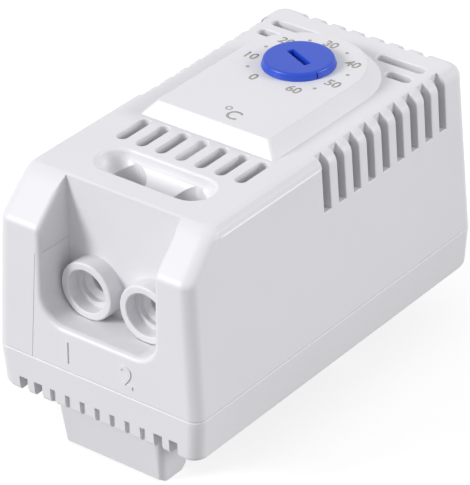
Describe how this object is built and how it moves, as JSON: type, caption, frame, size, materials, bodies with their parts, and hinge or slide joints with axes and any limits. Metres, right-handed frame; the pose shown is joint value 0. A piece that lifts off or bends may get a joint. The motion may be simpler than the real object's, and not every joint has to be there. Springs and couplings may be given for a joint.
{
  "type": "din rail thermostat",
  "caption": "Small rail-mounted bimetal thermostat with a vented case, a turning temperature dial, screw clamp terminals behind round wire entries, and a sprung rail latch.",
  "frame": {"origin": "centre of the 35 mm rail's seat plane, midway between the two hooks", "axes": "+Z away from the rail, out through the dial; -Y towards the end with the wire entries; +X to the right seen from that end, along the rail"},
  "size_m": [0.033, 0.0615, 0.0415],
  "materials": {
    "shell_plastic": "fine satin",
    "clip_plastic": "fine satin",
    "knob_plastic": "satin",
    "inner_plastic": "satin",
    "spring_steel": "drawn",
    "plated_steel": "zinc plated",
    "brass_part": "stamped",
    "bronze_strip": "rolled",
    "silver_contact": "domed wire stock",
    "bimetal": "rolled",
    "magnet_ferrite": "sintered"
  },
  "bodies": {
    "case": {"housing": "shell_plastic", "rear_cover": "shell_plastic", "rail_clip": "clip_plastic", "setting_bridge": "inner_plastic", "inner_frame": "inner_plastic", "terminal_bar_1": "brass_part", "terminal_bar_2": "brass_part", "leaf_rivets": "brass_part", "bimetal_rivets": "brass_part", "frame_screws": "plated_steel", "friction_washer": "spring_steel"},
    "knob": {"setting_knob": "knob_plastic", "setting_spindle": "inner_plastic"},
    "plunger": {"setting_plunger": "inner_plastic", "calibration_screw": "brass_part"},
    "leaf": {"contact_leaf": "bronze_strip", "fixed_contact": "silver_contact", "magnet": "magnet_ferrite"},
    "bimetal": {"bimetal_strip": "bimetal", "moving_contact": "silver_contact", "armature": "plated_steel"},
    "screw_1": {"terminal_screw_1": "plated_steel"},
    "screw_2": {"terminal_screw_2": "plated_steel"},
    "cage_1": {"terminal_cage_1": "plated_steel"},
    "cage_2": {"terminal_cage_2": "plated_steel"},
    "latch": {"rail_latch": "clip_plastic", "latch_spring": "spring_steel"}
  },
  "joints": [
    {"name": "knob_turn", "type": "hinge", "parent": "case", "child": "knob", "pos_m": [0, 0.022, 0.0334], "axis": [0, 0, 1], "range_deg": [-40, 260]},
    {"name": "plunger_lift", "type": "slide", "parent": "case", "child": "plunger", "axis": [0, 0, 1], "range_m": [-0.00016, 0.00104]},
    {"name": "leaf_flex", "type": "hinge", "parent": "case", "child": "leaf", "pos_m": [0, 0.0033, 0.0198], "axis": [1, 0, 0], "range_deg": [-0.49, 3.19], "stiffness_Nm_per_rad": 0.05, "deforming": ["contact_leaf"]},
    {"name": "bimetal_flex", "type": "hinge", "parent": "case", "child": "bimetal", "pos_m": [0, 0.0094, 0.0178], "axis": [1, 0, 0], "range_deg": [-4, 0], "stiffness_Nm_per_rad": 0.05, "deforming": ["bimetal_strip"]},
    {"name": "screw_1_turn", "type": "hinge", "parent": "case", "child": "screw_1", "pos_m": [-0.00415, -0.0085, 0.0264], "axis": [0, 0, 1], "range_deg": [-1560, 0]},
    {"name": "cage_1_rise", "type": "slide", "parent": "case", "child": "cage_1", "axis": [0, 0, 1], "range_m": [0, 0.0026]},
    {"name": "screw_2_turn", "type": "hinge", "parent": "case", "child": "screw_2", "pos_m": [0.00535, -0.0085, 0.0264], "axis": [0, 0, 1], "range_deg": [-1560, 0]},
    {"name": "cage_2_rise", "type": "slide", "parent": "case", "child": "cage_2", "axis": [0, 0, 1], "range_m": [0, 0.0026]},
    {"name": "latch_pull", "type": "slide", "parent": "case", "child": "latch", "axis": [0, 1, 0], "range_m": [0, 0.003], "stiffness_N_per_m": 800, "springref_m": -0.004, "deforming": ["latch_spring"]}
  ],
  "couplings": [
    {"joint": "knob_turn", "follows": "plunger_lift", "rad_per_m": 4363.3},
    {"joint": "leaf_flex", "follows": "plunger_lift", "rad_per_m": 53.475},
    {"joint": "screw_1_turn", "follows": "cage_1_rise", "rad_per_m": -10472},
    {"joint": "screw_2_turn", "follows": "cage_2_rise", "rad_per_m": -10472}
  ]
}
